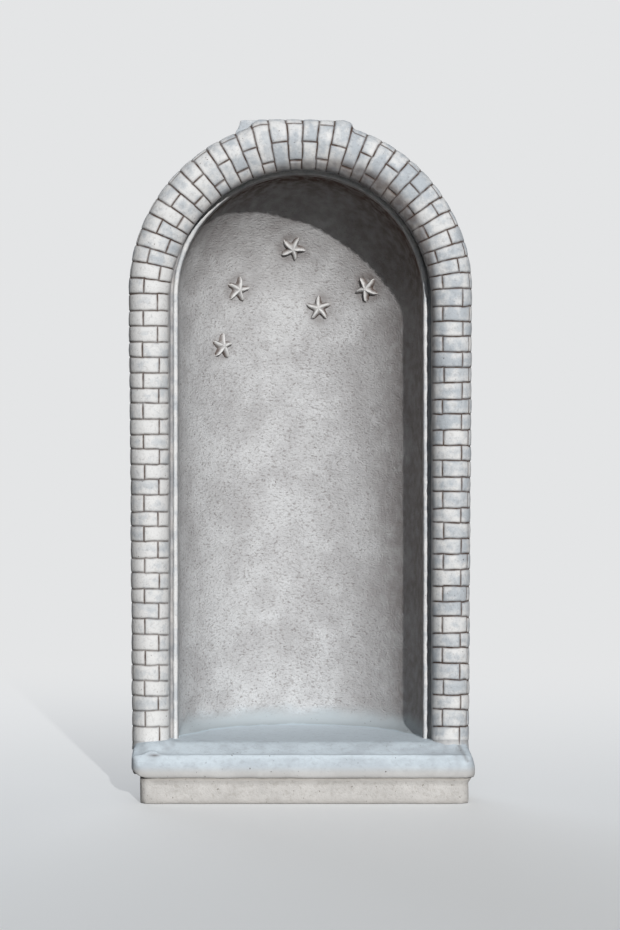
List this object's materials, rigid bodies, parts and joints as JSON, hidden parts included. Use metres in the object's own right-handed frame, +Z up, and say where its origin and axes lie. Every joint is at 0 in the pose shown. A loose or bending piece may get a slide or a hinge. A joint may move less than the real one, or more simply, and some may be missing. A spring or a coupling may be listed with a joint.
{
  "type": "wayside shrine niche",
  "caption": "Free-standing cast-stone garden shrine: a round-backed niche with a half dome, framed by a brick-scored roll and a thin bead, with raised stars, on a slab with a rounded sill.",
  "frame": {"origin": "on the ground, in the middle of the base's bounding box", "axes": "+X to the right as seen from the front, +Y into the niche, +Z up; the open front faces -Y"},
  "size_m": [0.582, 0.385, 1.148],
  "materials": {
    "brick_stone": "rough cast stone, scored as brickwork, brown wash in the joints",
    "niche_stone": "stippled cast stone with a dark wash in the hollows",
    "base_stone": "smooth floated cast stone",
    "star_stone": "rough cast stone, pale on the ridges"
  },
  "bodies": {
    "root": {"plinth": "base_stone", "base_slab": "base_stone", "niche_floor": "base_stone", "left_jamb": "brick_stone", "right_jamb": "brick_stone", "arch_left": "brick_stone", "arch_crown": "brick_stone", "arch_right": "brick_stone", "left_wall": "niche_stone", "back_wall": "niche_stone", "right_wall": "niche_stone", "dome_left": "niche_stone", "dome_crown": "niche_stone", "dome_right": "niche_stone", "crown_pad": "base_stone", "star_top": "star_stone", "star_left": "star_stone", "star_centre": "star_stone", "star_right": "star_stone", "star_low_left": "star_stone"}
  },
  "joints": []
}
